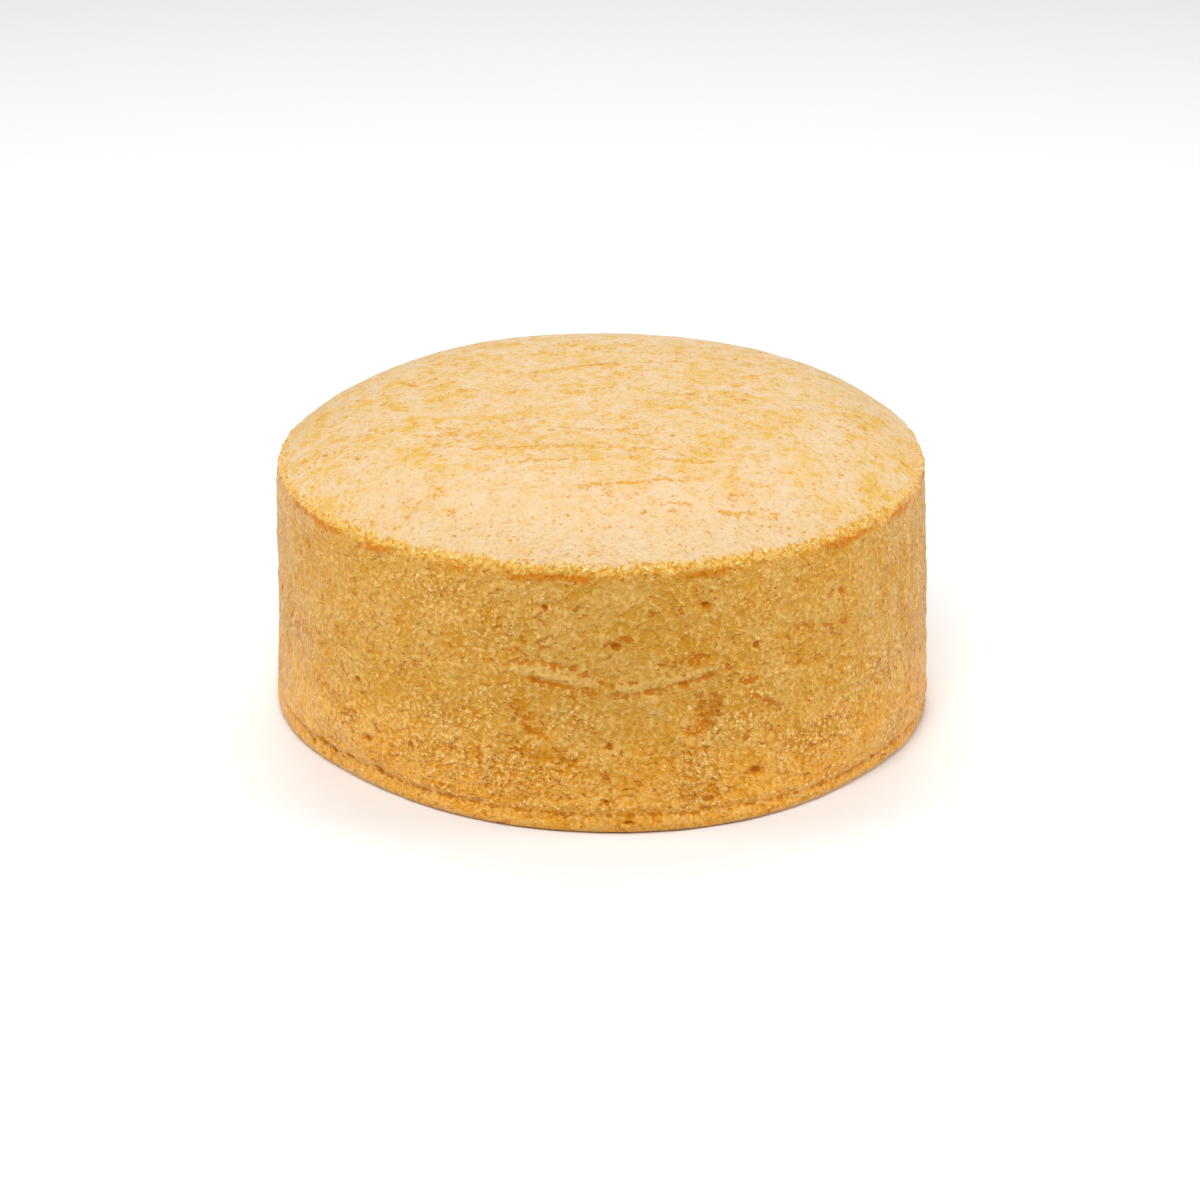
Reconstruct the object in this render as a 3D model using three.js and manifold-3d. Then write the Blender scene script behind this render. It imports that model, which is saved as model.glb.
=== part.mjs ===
// A plain round sponge cake, uncut and without icing, as it comes out of a 15 cm tin.
// Millimetres. +Z is up, the cake stands on Z = 0, and its front looks towards -Y.

import Module from 'manifold-3d';
import * as THREE from 'three';
import { mergeVertices } from 'three/addons/utils/BufferGeometryUtils.js';

// Driving dimensions of the plain round form
const WALL_RADIUS = 75; // at the top of the wall
const BASE_FLARE = 1.9; // the wall is this much wider at its foot
const CROWN_HEIGHT = 73.6; // the middle of the risen top
const TOP_POWER = 6; // the top is flat in the middle and drops as this power of the radius
const RIM_SLOPE = 45; // degrees that the top falls where it meets the rim
const RIM_RADIUS = 4.5; // rounding from the rim into the wall
const BASE_EDGE = 2.4; // rounding of the bottom edge

// How the real cake departs from it
const LEAN = -0.75; // the top sits this far to the left of the base
const TILT = 0.5; // the right of the top is higher by this much
const WALL_WAVE = 0.3; // slow waves round the wall
const TOP_WAVE = 0.25; // slow waves over the top
const RIM_BEAD = 0.3; // the skin's edge stands out where the top turns over
const RIM_WIDTH = 1.6;

// Where the foot is drawn in: turn from the front in degrees, and depth in millimetres
const FOOT_TUCKS = [
  { turn: -46, deep: 2.6 },
  { turn: 53.5, deep: 2.2 },
  { turn: 166, deep: 1.2 },
];
const TUCK_WIDTH = 28;
const FOOT_TOP = 13; // above this height the wall is round again

// The line that the tin's loose bottom left round the foot
const TIN_LINE_HEIGHT = 4.4;
const TIN_LINE_SLANT = 0.7; // lower on the right and higher on the left by this much
const TIN_LINE_WOBBLE = 0.25;
const TIN_LINE_DEPTH = 0.5;
const TIN_LINE_WIDTH = 1;
const TIN_LINE_SWELL = 0.25; // the crumb just above the line swells

// Shallow dents in the wall: turn from the front in degrees, height and size in millimetres
const DENTS = [
  { turn: -12, height: 27, wide: 4.5, tall: 5, deep: 0.9 },
  { turn: 17, height: 28, wide: 4, tall: 6, deep: 1.1 },
  { turn: 3, height: 28, wide: 18, tall: 8, deep: 0.5 },
  { turn: 63, height: 41, wide: 6, tall: 12, deep: 0.5 },
  { turn: 104, height: 24, wide: 12, tall: 6, deep: 0.8 },
  { turn: 158, height: 37, wide: 7, tall: 8, deep: 0.7 },
  { turn: 205, height: 22, wide: 14, tall: 5, deep: 0.8 },
  { turn: 251, height: 40, wide: 9, tall: 6, deep: 0.6 },
  { turn: 296, height: 26, wide: 6, tall: 9, deep: 0.6 },
];

// Open bubbles in the wall that show from the front, each an oval hole
const FRONT_PITS = [
  { turn: -66.9, height: 41.5, wide: 1.3, tall: 2.6 },
  { turn: -61.8, height: 3.7, wide: 1.5, tall: 1.5 },
  { turn: -60.8, height: 52.3, wide: 1.8, tall: 1.5 },
  { turn: -58, height: 5.2, wide: 1.6, tall: 2 },
  { turn: -54.8, height: 5, wide: 1.7, tall: 1.8 },
  { turn: -50, height: 5.1, wide: 1.6, tall: 1.6 },
  { turn: -46, height: 26.3, wide: 1.5, tall: 1.5 },
  { turn: -43.4, height: 13.4, wide: 1.8, tall: 1.4 },
  { turn: -42, height: 5.4, wide: 1.8, tall: 2 },
  { turn: -34, height: 15.3, wide: 1.4, tall: 1.6 },
  { turn: -9.4, height: 52.4, wide: 1.7, tall: 1.3 },
  { turn: 0.7, height: 7.9, wide: 1.6, tall: 1.2 },
  { turn: 1.1, height: 21, wide: 1.3, tall: 1.2 },
  { turn: 2.3, height: 43.9, wide: 2.8, tall: 1.7 },
  { turn: 4.4, height: 3, wide: 2, tall: 1.1 },
  { turn: 17.2, height: 52.3, wide: 2.4, tall: 1.3 },
  { turn: 26, height: 12.1, wide: 3, tall: 2.2 },
  { turn: 26.3, height: 41.3, wide: 1.8, tall: 1.3 },
  { turn: 44.7, height: 48.2, wide: 1.3, tall: 2 },
  { turn: 55, height: 3.9, wide: 1.4, tall: 1.6 },
  { turn: 61, height: 4.6, wide: 1.7, tall: 2.2 },
];
const PIT_DEPTH = 1.3;

// The rest of the wall has bubbles of the same kind, spread by seeded draws
const SPREAD_PITS = 28;
const SPREAD_FROM = 72; // degrees of turn
const SPREAD_TO = 288;
const SPREAD_LOW = 8; // millimetres above the base
const SPREAD_HIGH = 52;
const SPREAD_SEED = 11;

// Fineness of the mesh
const SEGMENTS = 112;
const EDGE_STEPS = 3;
const FOOT_STEPS = 6;
const WALL_STEPS = 11;
const RIM_STEPS = 3;
const TOP_STEPS = 12;

const radians = THREE.MathUtils.degToRad;
const rise = THREE.MathUtils.smoothstep; // rise(x, low, high) goes smoothly from 0 to 1
const hill = (distance, width) => Math.exp(-((distance / width) ** 2));

// Repeatable draws from 0 to 1
function draws(seed) {
  let state = seed;
  return () => {
    state = (state * 1664525 + 1013904223) % 4294967296;
    return state / 4294967296;
  };
}

// The shortest way round from one turn to another, in radians
function turnBetween(from, to) {
  return Math.atan2(Math.sin(to - from), Math.cos(to - from));
}

// Where the rounding of the rim meets the top and the wall
const RIM_PLACE = WALL_RADIUS - RIM_RADIUS * (1 - Math.sin(radians(RIM_SLOPE)));
const TOP_FALL = (Math.tan(radians(RIM_SLOPE)) * WALL_RADIUS)
  / (TOP_POWER * (RIM_PLACE / WALL_RADIUS) ** (TOP_POWER - 1));
const RIM_HEIGHT = topHeight(RIM_PLACE);
const WALL_HEIGHT = RIM_HEIGHT - RIM_RADIUS * Math.cos(radians(RIM_SLOPE));

// Height of the plain top at a radius
function topHeight(radius) {
  return CROWN_HEIGHT - TOP_FALL * (radius / WALL_RADIUS) ** TOP_POWER;
}

// Radius of the plain wall at a height
function wallRadius(height) {
  return WALL_RADIUS + BASE_FLARE * (1 - height / WALL_HEIGHT);
}

// Half of the plain form's section, from the middle of the underside to the middle of the top
function section() {
  const points = [new THREE.Vector2(0, 0)];
  const footRadius = wallRadius(BASE_EDGE) - BASE_EDGE;
  for (let i = 0; i <= EDGE_STEPS; i += 1) {
    const angle = (Math.PI / 2) * (i / EDGE_STEPS);
    const out = footRadius + BASE_EDGE * Math.sin(angle);
    points.push(new THREE.Vector2(out, BASE_EDGE * (1 - Math.cos(angle))));
  }
  for (let i = 1; i <= FOOT_STEPS; i += 1) {
    const height = THREE.MathUtils.lerp(BASE_EDGE, FOOT_TOP, i / FOOT_STEPS);
    points.push(new THREE.Vector2(wallRadius(height), height));
  }
  for (let i = 1; i <= WALL_STEPS; i += 1) {
    const height = THREE.MathUtils.lerp(FOOT_TOP, WALL_HEIGHT, i / WALL_STEPS);
    points.push(new THREE.Vector2(wallRadius(height), height));
  }
  for (let i = 1; i <= RIM_STEPS; i += 1) {
    const angle = radians(THREE.MathUtils.lerp(90, RIM_SLOPE, i / RIM_STEPS));
    const out = WALL_RADIUS - RIM_RADIUS * (1 - Math.sin(angle));
    points.push(new THREE.Vector2(out, WALL_HEIGHT + RIM_RADIUS * Math.cos(angle)));
  }
  for (let i = 1; i <= TOP_STEPS; i += 1) {
    const radius = i < TOP_STEPS ? RIM_PLACE * Math.cos((Math.PI / 2) * (i / TOP_STEPS)) : 0;
    points.push(new THREE.Vector2(radius, topHeight(radius)));
  }
  return points;
}

// How far the wall stands out from the plain form, at a turn and a height
function standOut(turn, height) {
  const slow = Math.sin(2 * turn + 0.6 + height / 30) + 0.6 * Math.sin(3 * turn - 0.8);
  const quick = 0.4 * Math.sin(7 * turn + height / 9);
  const rim = RIM_BEAD * hill(height - RIM_HEIGHT, RIM_WIDTH);
  const wobble = TIN_LINE_WOBBLE * Math.sin(5 * turn + 1.1);
  const line = TIN_LINE_HEIGHT - TIN_LINE_SLANT * Math.sin(turn) + wobble;
  const tinLine = TIN_LINE_SWELL * hill(height - line - 2, 1.4)
    - TIN_LINE_DEPTH * hill(height - line, TIN_LINE_WIDTH);
  let out = WALL_WAVE * (slow + quick) + rim + tinLine;
  for (const tuck of FOOT_TUCKS) {
    const along = WALL_RADIUS * turnBetween(radians(tuck.turn), turn);
    out -= tuck.deep * hill(along, TUCK_WIDTH) * (1 - rise(height, 2, FOOT_TOP));
  }
  for (const dent of DENTS) {
    const along = WALL_RADIUS * turnBetween(radians(dent.turn), turn);
    out -= dent.deep * hill(along, dent.wide) * hill(height - dent.height, dent.tall);
  }
  return out;
}

// Moves a point of the plain form to its place on the real cake
function uneven(point) {
  const radius = Math.hypot(point.x, point.y);
  const turn = Math.atan2(point.x, -point.y);
  const height = point.z;
  const share = Math.min(1, radius / WALL_RADIUS) ** 2;
  const scale = radius > 0 ? 1 + (share * standOut(turn, height)) / radius : 1;
  const up = height / CROWN_HEIGHT;
  const wave = Math.sin(point.x / 19 + 1) * Math.cos(point.y / 23 - 0.5)
    + 0.6 * Math.sin((point.x + point.y) / 16);
  const lift = TOP_WAVE * wave * rise(height, WALL_HEIGHT, CROWN_HEIGHT);
  point.z += lift + (TILT * up * point.x) / WALL_RADIUS;
  point.x = point.x * scale + LEAN * up;
  point.y *= scale;
}

// The plain form turned about Z, then moved point by point. The underside stays flat.
function cakeGeometry() {
  const geometry = new THREE.LatheGeometry(section(), SEGMENTS);
  geometry.rotateX(Math.PI / 2);
  geometry.deleteAttribute('normal');
  geometry.deleteAttribute('uv');
  const merged = mergeVertices(geometry, 1e-4);
  const places = merged.getAttribute('position');
  const point = new THREE.Vector3();
  for (let i = 0; i < places.count; i += 1) {
    point.fromBufferAttribute(places, i);
    if (Math.abs(point.z) < 1e-3) {
      point.z = 0;
    }
    uneven(point);
    places.setXYZ(i, point.x, point.y, point.z);
  }
  return merged;
}

// All the bubbles: the chosen ones of the front and the spread ones of the sides and back
function allPits() {
  const draw = draws(SPREAD_SEED);
  const pits = [...FRONT_PITS];
  for (let i = 0; i < SPREAD_PITS; i += 1) {
    const part = (i + 0.2 + 0.6 * draw()) / SPREAD_PITS;
    pits.push({
      turn: THREE.MathUtils.lerp(SPREAD_FROM, SPREAD_TO, part),
      height: THREE.MathUtils.lerp(SPREAD_LOW, SPREAD_HIGH, draw()),
      wide: THREE.MathUtils.lerp(1.3, 2.6, draw() ** 2),
      tall: THREE.MathUtils.lerp(1.2, 2.2, draw() ** 2),
    });
  }
  return pits;
}

// One bubble as an oval ball whose middle lies on the wall
function pitGeometry({ turn, height, wide, tall }) {
  const geometry = new THREE.SphereGeometry(1, 8, 6);
  geometry.scale(wide / 2, PIT_DEPTH, tall / 2);
  const middle = new THREE.Vector3(0, -wallRadius(height), height);
  middle.applyAxisAngle(new THREE.Vector3(0, 0, 1), radians(turn));
  uneven(middle);
  geometry.rotateZ(radians(turn));
  geometry.translate(middle.x, middle.y, middle.z);
  return geometry;
}

const wasm = await Module();
wasm.setup();

// A closed geometry as a solid for cutting
function toSolid(geometry) {
  geometry.deleteAttribute('normal');
  geometry.deleteAttribute('uv');
  const merged = mergeVertices(geometry, 1e-4);
  const mesh = new wasm.Mesh({
    numProp: 3,
    vertProperties: new Float32Array(merged.getAttribute('position').array),
    triVerts: new Uint32Array(merged.getIndex().array),
  });
  return new wasm.Manifold(mesh);
}

function toGeometry(solid) {
  const mesh = solid.getMesh();
  const geometry = new THREE.BufferGeometry();
  geometry.setAttribute('position', new THREE.BufferAttribute(mesh.vertProperties, 3));
  geometry.setIndex(new THREE.BufferAttribute(mesh.triVerts, 1));
  return geometry;
}

// Puts the middle of the cake's box over the origin
function centred(geometry) {
  geometry.computeBoundingBox();
  const middle = geometry.boundingBox.getCenter(new THREE.Vector3());
  return geometry.translate(-middle.x, -middle.y, 0);
}

function spongeCake() {
  let solid = toSolid(cakeGeometry());
  for (const pit of allPits()) {
    solid = solid.subtract(toSolid(pitGeometry(pit)));
  }
  const geometry = centred(toGeometry(solid));
  geometry.computeVertexNormals();
  const crumb = new THREE.MeshStandardMaterial({ color: 0xe0a85a, roughness: 0.85, metalness: 0 });
  const mesh = new THREE.Mesh(geometry, crumb);
  mesh.name = 'sponge_cake';
  return mesh;
}

const cake = new THREE.Group();
cake.add(spongeCake());

export default cake;
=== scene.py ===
# %% [markdown]
# # A plain round sponge cake
# The object is one thing: a golden sponge, uncut and without icing, just out of its tin. The
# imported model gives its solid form. This lesson models the same form with a fine mesh, carves
# the small relief that the solid leaves out, and gives it a baked skin and an open crumb.
# Lengths are in metres, as in the solid, and sizes are written in millimetres times MM.

# %% Load the frame
import math

import bmesh
import bpy
import numpy as np
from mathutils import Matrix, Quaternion, Vector, noise as clouds


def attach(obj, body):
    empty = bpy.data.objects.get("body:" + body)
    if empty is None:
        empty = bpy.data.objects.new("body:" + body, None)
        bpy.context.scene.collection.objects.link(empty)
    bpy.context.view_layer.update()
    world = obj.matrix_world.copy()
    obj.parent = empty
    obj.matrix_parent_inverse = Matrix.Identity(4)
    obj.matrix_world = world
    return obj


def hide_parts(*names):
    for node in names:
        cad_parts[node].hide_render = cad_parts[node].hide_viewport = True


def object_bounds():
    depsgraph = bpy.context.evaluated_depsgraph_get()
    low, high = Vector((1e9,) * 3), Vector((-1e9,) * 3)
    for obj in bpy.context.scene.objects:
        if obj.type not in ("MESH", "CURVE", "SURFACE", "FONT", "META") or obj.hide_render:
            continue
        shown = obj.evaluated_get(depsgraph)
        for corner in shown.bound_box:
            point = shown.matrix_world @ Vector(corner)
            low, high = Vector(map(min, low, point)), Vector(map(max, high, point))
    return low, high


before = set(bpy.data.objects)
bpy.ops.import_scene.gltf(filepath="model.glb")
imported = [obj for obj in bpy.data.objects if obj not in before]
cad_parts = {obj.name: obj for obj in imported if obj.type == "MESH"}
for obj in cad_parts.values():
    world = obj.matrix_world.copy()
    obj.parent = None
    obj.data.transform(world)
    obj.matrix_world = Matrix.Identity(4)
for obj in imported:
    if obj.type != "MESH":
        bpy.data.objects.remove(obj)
cad_low, cad_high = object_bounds()
MM = 0.001
print("CAD box in mm:", [round(v / MM, 2) for v in (*cad_low, *cad_high)])

# %% [markdown]
# ## Camera
# The photograph looks down on the cake at about 22 degrees from less than a metre away, so the
# far side is a little smaller than the near one. A short lens closer up would swell the front,
# and a long lens from far away would flatten it, so the distance is kept and the lens follows.

# %% Place the camera
PHOTO_SIDE = 1200  # pixels, the photograph is square
VIEW_ELEVATION = math.radians(22.3)
VIEW_DISTANCE = 900 * MM
FOCAL_PIXELS = 3847  # the lens in pixels of the photograph
VIEW_ROLL = math.radians(0.37)
AIM = Vector((-0.6 * MM, 0, 24.1 * MM))

camera_data = bpy.data.cameras.new("camera")
camera = bpy.data.objects.new("camera", camera_data)
bpy.context.scene.collection.objects.link(camera)
bpy.context.scene.camera = camera
camera_data.sensor_width = 36
camera_data.lens = FOCAL_PIXELS / PHOTO_SIDE * camera_data.sensor_width
camera_data.clip_start = 0.01
camera_data.clip_end = 50
backwards = Vector((0, -math.cos(VIEW_ELEVATION), math.sin(VIEW_ELEVATION)))
camera.location = AIM + backwards * VIEW_DISTANCE
camera.rotation_mode = "QUATERNION"
roll = Quaternion((0, 0, 1), VIEW_ROLL)
camera.rotation_quaternion = (-backwards).to_track_quat("-Z", "Y") @ roll
print("lens in mm:", round(camera_data.lens, 1))

# %% [markdown]
# ## The plain round form
# A sponge takes the shape of its tin: a wall that is nearly upright, a rounded bottom edge, and
# a top that rises in the middle and drops towards the rim. The section could be drawn as a curve
# by hand. It is written as a few formulas instead, because both the modelling and the last seating
# of every point then ask the same ones for a radius or a height.

# %% Sizes of the plain form
WALL_RADIUS = 75 * MM
BASE_FLARE = 1.9 * MM
CROWN_HEIGHT = 73.6 * MM
TOP_POWER = 6
RIM_SLOPE = math.radians(45)
RIM_RADIUS = 4.5 * MM
BASE_EDGE = 2.4 * MM

RIM_PLACE = WALL_RADIUS - RIM_RADIUS * (1 - math.sin(RIM_SLOPE))
TOP_FALL = math.tan(RIM_SLOPE) * WALL_RADIUS / (TOP_POWER * (RIM_PLACE / WALL_RADIUS) ** (TOP_POWER - 1))


def top_height(radius):
    return CROWN_HEIGHT - TOP_FALL * (radius / WALL_RADIUS) ** TOP_POWER


RIM_HEIGHT = top_height(RIM_PLACE)
WALL_HEIGHT = RIM_HEIGHT - RIM_RADIUS * math.cos(RIM_SLOPE)


def wall_radius(height):
    return WALL_RADIUS + BASE_FLARE * (1 - height / WALL_HEIGHT)


FOOT_RADIUS = wall_radius(BASE_EDGE) - BASE_EDGE
print("rim at", round(RIM_PLACE / MM, 1), "mm out and", round(RIM_HEIGHT / MM, 1), "mm up")

# %% [markdown]
# ## Blocking out the cake
# A lathe (spin) would crowd its faces in the middle of the top. Here a ring is extruded upwards
# along the section instead, as one would do by hand, and the last ring is filled with a grid, so
# that the top has faces of the same size as the wall.

# %% Helpers for modelling
def deselect_all():
    for thing in bpy.context.selected_objects:
        thing.select_set(False)


def select_only(thing):
    deselect_all()
    thing.select_set(True)
    bpy.context.view_layer.objects.active = thing


def extrude_ring(old, new):
    """Extrudes the selected edges from one (radius, height) of the section to the next."""
    rise = {"value": (0, 0, new[1] - old[1])}
    bpy.ops.mesh.extrude_edges_move(TRANSFORM_OT_translate=rise)
    grow = new[0] / old[0]
    bpy.ops.transform.resize(value=(grow, grow, 1), center_override=(0, 0, 0))


# %% The rings of the section
WALL_ROWS = 11
SHOULDER_RADII = (70 * MM, 64.5 * MM)

rings = [(FOOT_RADIUS, 0.0), (FOOT_RADIUS + BASE_EDGE, BASE_EDGE)]
for row in range(1, WALL_ROWS + 1):
    height = BASE_EDGE + (WALL_HEIGHT - BASE_EDGE) * row / WALL_ROWS
    rings.append((wall_radius(height), height))
rings.append((RIM_PLACE, RIM_HEIGHT))
rings.extend((radius, top_height(radius)) for radius in SHOULDER_RADII)
print(len(rings), "rings")

# %% Extrude the rings and fill the top
ROUND_SIDES = 76
GRID_SPAN = ROUND_SIDES // 4

deselect_all()
bpy.ops.mesh.primitive_circle_add(vertices=ROUND_SIDES, radius=FOOT_RADIUS, fill_type="NGON")
cake = bpy.context.object
cake.name = "sponge"
bpy.ops.object.mode_set(mode="EDIT")
bpy.ops.mesh.select_mode(type="EDGE")
for old, new in zip(rings, rings[1:]):
    extrude_ring(old, new)
bpy.ops.mesh.fill_grid(span=GRID_SPAN)
bpy.ops.mesh.select_all(action="SELECT")
bpy.ops.mesh.normals_make_consistent(inside=False)
print("blocked out with", ROUND_SIDES, "sides")

# %% Cut all but the underside finely
FINE_CUTS = 7

bpy.ops.mesh.select_mode(type="FACE")
mesh = bmesh.from_edit_mesh(cake.data)
for face in mesh.faces:
    face.select = len(face.verts) == 4
bmesh.update_edit_mesh(cake.data)
bpy.ops.mesh.subdivide(number_cuts=FINE_CUTS)
bpy.ops.object.mode_set(mode="OBJECT")
print(len(cake.data.vertices), "points,", len(cake.data.polygons), "faces")

# %% [markdown]
# ## Rounding the blocks
# The cuts lie on straight chords, so the wall still has flat facets. A subdivision modifier would
# round them but also shrink the rim. Here every point is moved out to the section's own formulas,
# which keeps the tin's radius and the rim's curve exact.


# %% Reading and writing points
def read_points(thing):
    points = np.empty(len(thing.data.vertices) * 3)
    thing.data.vertices.foreach_get("co", points)
    return points.reshape(-1, 3)


def write_points(thing, points):
    thing.data.vertices.foreach_set("co", points.astype(np.float32).ravel())
    thing.data.update()


# %% Seat every point on the section
TINY = 0.001 * MM


def seated(points):
    """Moves points that lie on straight chords out to the round section."""
    x, y, height = points.T
    radius = np.hypot(x, y)
    turn = np.arctan2(x, -y)
    foot = np.arctan2(radius - FOOT_RADIUS, BASE_EDGE - height)
    rim = np.arctan2(radius - (WALL_RADIUS - RIM_RADIUS), height - WALL_HEIGHT)
    zones = [
        (height < TINY),
        (height < BASE_EDGE),
        (height <= WALL_HEIGHT),
        (height <= RIM_HEIGHT + TINY) & (radius > RIM_PLACE - RIM_RADIUS),
    ]
    new_radius = np.select(zones, [
        np.full_like(radius, FOOT_RADIUS),
        FOOT_RADIUS + BASE_EDGE * np.sin(foot),
        wall_radius(height),
        WALL_RADIUS - RIM_RADIUS * (1 - np.sin(rim)),
    ], radius)
    new_height = np.select(zones, [
        np.zeros_like(height),
        BASE_EDGE * (1 - np.cos(foot)),
        height,
        WALL_HEIGHT + RIM_RADIUS * np.cos(rim),
    ], top_height(radius))
    return np.column_stack([new_radius * np.sin(turn), -new_radius * np.cos(turn), new_height])


plain = seated(read_points(cake))
plain_radius = np.hypot(plain[:, 0], plain[:, 1])
plain_turn = np.arctan2(plain[:, 0], -plain[:, 1])
plain_height = plain[:, 2]
print("widest", round(plain_radius.max() / MM, 2), "mm, highest", round(plain_height.max() / MM, 2), "mm")

# %% [markdown]
# ## Unevenness
# No cake is a perfect drum. This one leans a little, its right side stands higher, slow waves
# run round the wall, fingers left shallow dents, and the loose bottom of the tin pressed a line
# round the foot. Sculpting brushes could do this, but formulas can be the very ones of the solid,
# with the same sizes, so both have the same form.

# %% Lean and slow waves
LEAN = -0.75 * MM
TILT = 0.5 * MM
WALL_WAVE = 0.3 * MM
TOP_WAVE = 0.25 * MM
# share, number of waves round the cake, start, and the rise over which the wave turns by a radian
WALL_WAVES = [(1, 2, 0.6, 30 * MM), (0.6, 3, -0.8, math.inf), (0.4, 7, 0, 9 * MM)]
print(len(WALL_WAVES), "waves round the wall")

# %% The foot, the rim and the line of the tin
TUCK_WIDTH = 28 * MM
FOOT_ZONE = (2 * MM, 13 * MM)
RIM_BEAD = 0.3 * MM
RIM_WIDTH = 1.6 * MM
TIN_LINE_HEIGHT = 4.4 * MM
TIN_LINE_SLANT = 0.7 * MM
TIN_LINE_WOBBLE = 0.25 * MM
TIN_LINE_DEPTH = 0.5 * MM
TIN_LINE_WIDTH = 1 * MM
SWELL_HEIGHT = 0.25 * MM
SWELL_ABOVE = 2 * MM
SWELL_WIDTH = 1.4 * MM
# turn from the front in degrees and depth in millimetres
FOOT_TUCKS = [(-46, 2.6), (53.5, 2.2), (166, 1.2)]
print(len(FOOT_TUCKS), "places where the foot is drawn in")

# %% Dents
# turn from the front in degrees, height, width, tallness and depth in millimetres
DENTS = [
    (-12, 27, 4.5, 5, 0.9),
    (17, 28, 4, 6, 1.1),
    (3, 28, 18, 8, 0.5),
    (63, 41, 6, 12, 0.5),
    (104, 24, 12, 6, 0.8),
    (158, 37, 7, 8, 0.7),
    (205, 22, 14, 5, 0.8),
    (251, 40, 9, 6, 0.6),
    (296, 26, 6, 9, 0.6),
]
print(len(DENTS), "dents")


# %% Soft shapes
def hill(distance, width):
    """1 at no distance, soft and low beyond the width."""
    return np.exp(-((distance / width) ** 2))


def smooth_rise(value, low, high):
    """0 below low, 1 above high, smooth between."""
    share = np.clip((value - low) / (high - low), 0, 1)
    return share * share * (3 - 2 * share)


def arc_from(turn, degrees):
    """Length round the wall from a turn given in degrees, the short way."""
    apart = turn - math.radians(degrees)
    return WALL_RADIUS * np.arctan2(np.sin(apart), np.cos(apart))


# %% How far each point stands out
def tin_line(turn):
    wobble = TIN_LINE_WOBBLE * np.sin(5 * turn + 1.1)
    return TIN_LINE_HEIGHT - TIN_LINE_SLANT * np.sin(turn) + wobble


def stand_out(turn, height):
    waves = 0
    for part, count, begin, rise in WALL_WAVES:
        waves += part * np.sin(count * turn + begin + height / rise)
    rim = RIM_BEAD * hill(height - RIM_HEIGHT, RIM_WIDTH)
    over_line = height - tin_line(turn)
    swell = SWELL_HEIGHT * hill(over_line - SWELL_ABOVE, SWELL_WIDTH)
    pressed = TIN_LINE_DEPTH * hill(over_line, TIN_LINE_WIDTH)
    out = WALL_WAVE * waves + rim + swell - pressed
    near_foot = 1 - smooth_rise(height, *FOOT_ZONE)
    for degrees, deep in FOOT_TUCKS:
        out -= deep * MM * hill(arc_from(turn, degrees), TUCK_WIDTH) * near_foot
    for degrees, up, wide, tall, deep in DENTS:
        out -= deep * MM * hill(arc_from(turn, degrees), wide * MM) * hill(height - up * MM, tall * MM)
    return out


# %% Move the points
share = np.minimum(1, plain_radius / WALL_RADIUS) ** 2
scale = 1 + share * stand_out(plain_turn, plain_height) / plain_radius.clip(MM)
up = plain_height / CROWN_HEIGHT
x, y = plain[:, 0], plain[:, 1]
# the top's own waves, across, along and askew
wave = np.sin(x / (19 * MM) + 1) * np.cos(y / (23 * MM) - 0.5) + 0.6 * np.sin((x + y) / (16 * MM))
lift = TOP_WAVE * wave * smooth_rise(plain_height, WALL_HEIGHT, CROWN_HEIGHT)
form = np.column_stack([
    x * scale + LEAN * up,
    y * scale,
    plain_height + lift + TILT * up * x / WALL_RADIUS,
])
form[:, :2] -= (form[:, :2].min(0) + form[:, :2].max(0)) / 2
write_points(cake, form)
print("form box in mm:", (form.min(0) / MM).round(2), (form.max(0) / MM).round(2))

# %% [markdown]
# ## Bubbles and creases
# Where a bubble met the tin, the wall has a small oval hole, and where the sponge stuck a little
# it has creases with raised lips beside them, which get a painted highlight. Booleans would cut the holes,
# as in the solid, but on a mesh this fine it is enough to push the points in and out, and each point can
# remember how deep it lies, because the colour down there is painted darker and more orange as shade.

# %% Bubbles of the front
# turn in degrees, height, width and tallness in millimetres
FRONT_PITS = [
    (-66.9, 41.5, 1.3, 2.6),
    (-61.8, 3.7, 1.5, 1.5),
    (-60.8, 52.3, 1.8, 1.5),
    (-58, 5.2, 1.6, 2),
    (-54.8, 5, 1.7, 1.8),
    (-50, 5.1, 1.6, 1.6),
    (-46, 26.3, 1.5, 1.5),
    (-43.4, 13.4, 1.8, 1.4),
    (-42, 5.4, 1.8, 2),
    (-34, 15.3, 1.4, 1.6),
    (-9.4, 52.4, 1.7, 1.3),
    (0.7, 7.9, 1.6, 1.2),
    (1.1, 21, 1.3, 1.2),
    (2.3, 43.9, 2.8, 1.7),
    (4.4, 3, 2, 1.1),
    (17.2, 52.3, 2.4, 1.3),
    (26, 12.1, 3, 2.2),
    (26.3, 41.3, 1.8, 1.3),
    (44.7, 48.2, 1.3, 2),
    (55, 3.9, 1.4, 1.6),
    (61, 4.6, 1.7, 2.2),
]

# %% Bubbles of the sides and the back
SPREAD_PITS = 28
SPREAD_SEED = 11
SPREAD_TURNS = (72, 288)  # degrees
SPREAD_HEIGHTS = (8, 52)  # this and the next two in millimetres
SPREAD_WIDTHS = (1.3, 2.6)
SPREAD_TALLNESS = (1.2, 2.2)
SPREAD_JITTER = (0.2, 0.8)


def draws(seed):
    """Repeatable draws from 0 to 1."""
    state = seed
    while True:
        state = (state * 1664525 + 1013904223) % 4294967296
        yield state / 4294967296


def between(low, high, part):
    return low + (high - low) * part


draw = draws(SPREAD_SEED)
pits = list(FRONT_PITS)
for number in range(SPREAD_PITS):
    place = between(*SPREAD_TURNS, (number + between(*SPREAD_JITTER, next(draw))) / SPREAD_PITS)
    height = between(*SPREAD_HEIGHTS, next(draw))
    width = between(*SPREAD_WIDTHS, next(draw) ** 2)
    tallness = between(*SPREAD_TALLNESS, next(draw) ** 2)
    pits.append((place, height, width, tallness))
print(len(pits), "bubbles")

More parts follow.
